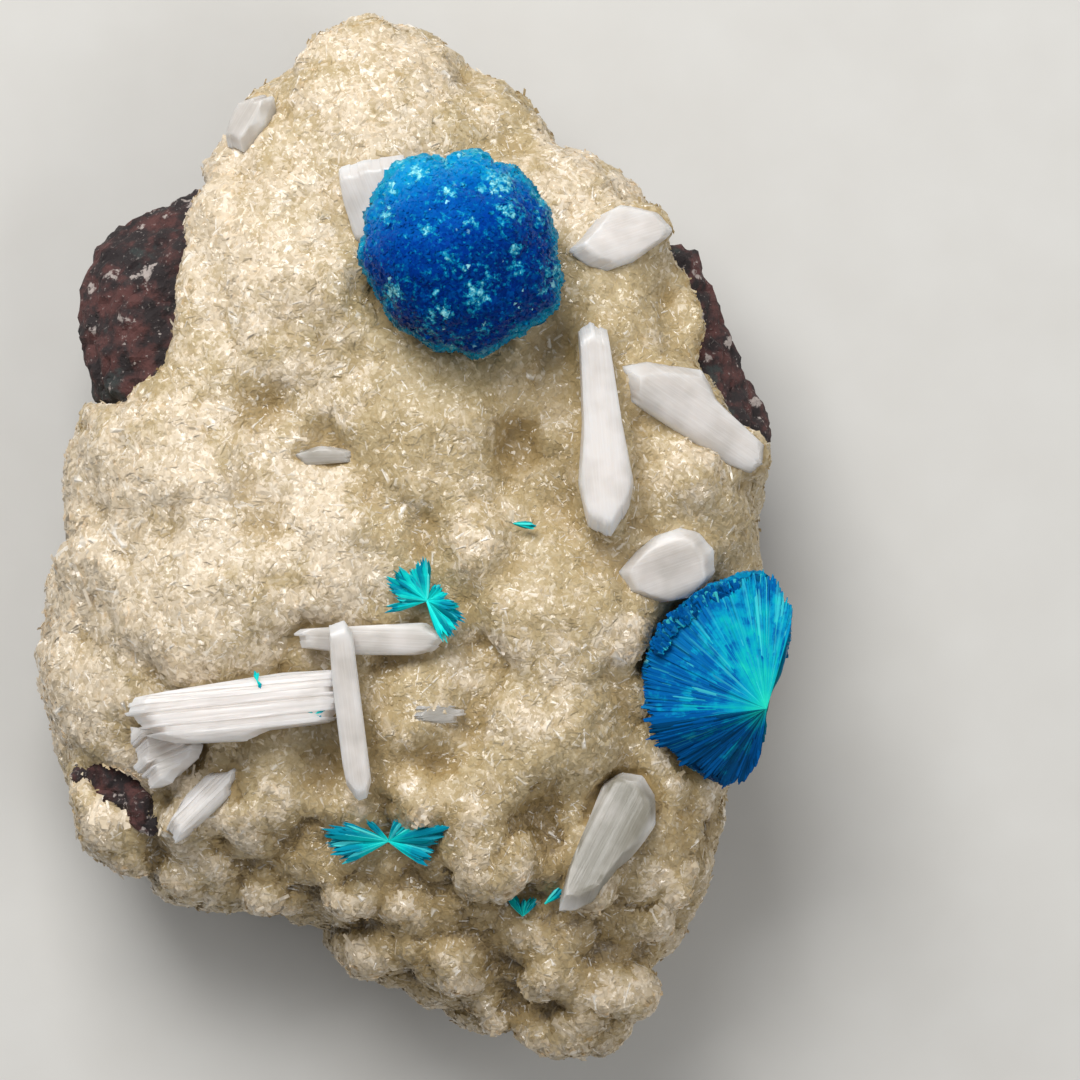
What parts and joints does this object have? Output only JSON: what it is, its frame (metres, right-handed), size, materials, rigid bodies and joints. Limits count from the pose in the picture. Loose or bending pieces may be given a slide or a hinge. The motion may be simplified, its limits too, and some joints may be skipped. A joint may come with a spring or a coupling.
{
  "type": "cavansite on matrix",
  "caption": "Basalt hand specimen crusted with pale stilbite druse, white stilbite blades, and blue cavansite balls and sprays, lying on its flat back.",
  "frame": {"origin": "middle of the flat back, under the middle of the outline", "axes": "+Y towards the upper end of the display face, along the longest side; +X to its right; +Z out of the display face"},
  "size_m": [0.0486, 0.068, 0.0289],
  "materials": {
    "basalt": "rough broken red-brown basalt",
    "druse": "fine sparkling tan stilbite druse",
    "blue_cavansite": "deep blue crystal tips with glassy glints",
    "teal_cavansite": "silky radiating blue-green fibres",
    "stilbite": "pearly white, finely striated along its length"
  },
  "bodies": {
    "root": {"basalt_matrix": "basalt", "druse_crust": "druse", "cavansite_ball": "blue_cavansite", "cavansite_half_ball": "teal_cavansite", "cavansite_bow_tie_upper": "teal_cavansite", "cavansite_bow_tie_lower": "teal_cavansite", "cavansite_sprig_lower": "teal_cavansite", "cavansite_prism_lower": "teal_cavansite", "cavansite_prism_middle": "teal_cavansite", "stilbite_crossed_cluster": "stilbite", "stilbite_upright": "stilbite", "stilbite_right_blade": "stilbite", "stilbite_upper_right": "stilbite", "stilbite_by_half_ball": "stilbite", "stilbite_club": "stilbite", "stilbite_lower_left": "stilbite", "stilbite_behind_ball": "stilbite", "stilbite_upper_edge": "stilbite", "stilbite_mid_left": "stilbite"}
  },
  "joints": []
}
